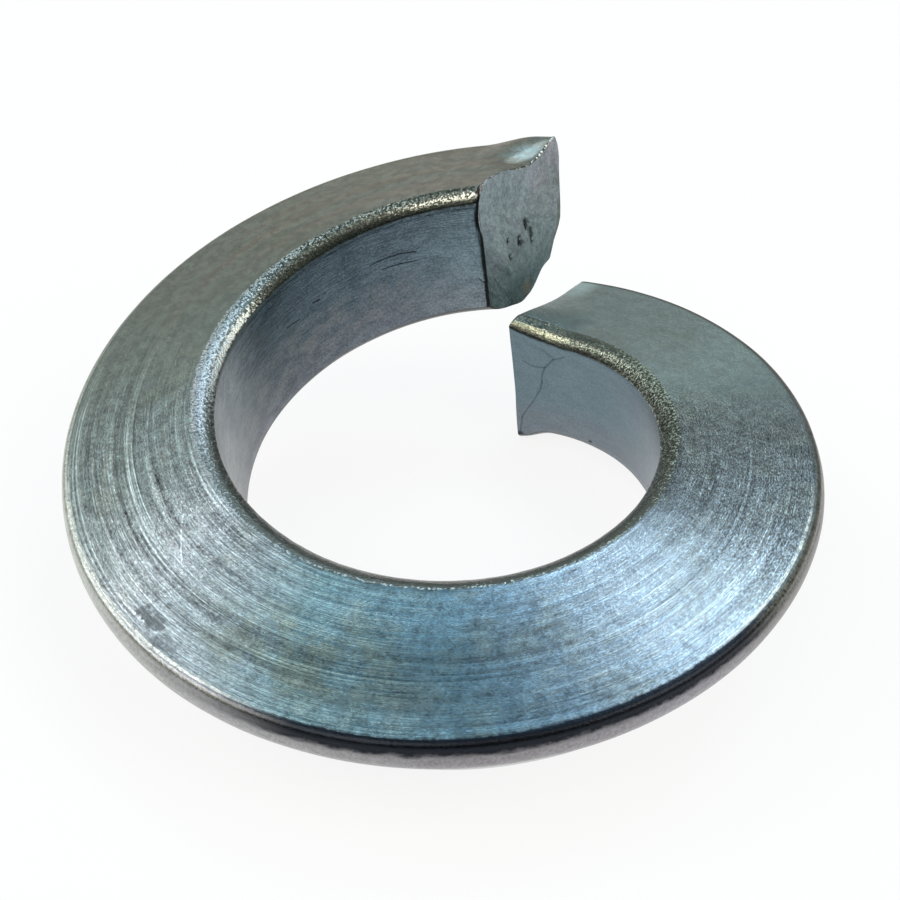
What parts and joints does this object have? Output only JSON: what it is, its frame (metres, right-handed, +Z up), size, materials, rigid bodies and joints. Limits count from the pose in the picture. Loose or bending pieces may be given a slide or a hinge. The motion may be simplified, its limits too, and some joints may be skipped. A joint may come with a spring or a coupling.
{
  "type": "conical spring washer",
  "caption": "Split, coiled spring lock washer with a coned upper face, a tapered seat below and two sheared ends.",
  "frame": {"origin": "on the bore's axis, half way along the bore's wall", "axes": "+Z up from the bench on which the washer lies at rest, so the bore leans 12.9 degrees from it; +Y away from the viewer who sees the gap at the far side"},
  "size_m": [0.0357, 0.0343, 0.0171],
  "materials": {
    "zinc_plated_steel": "satin"
  },
  "bodies": {
    "root": {"spring_washer": "zinc_plated_steel"}
  },
  "joints": []
}
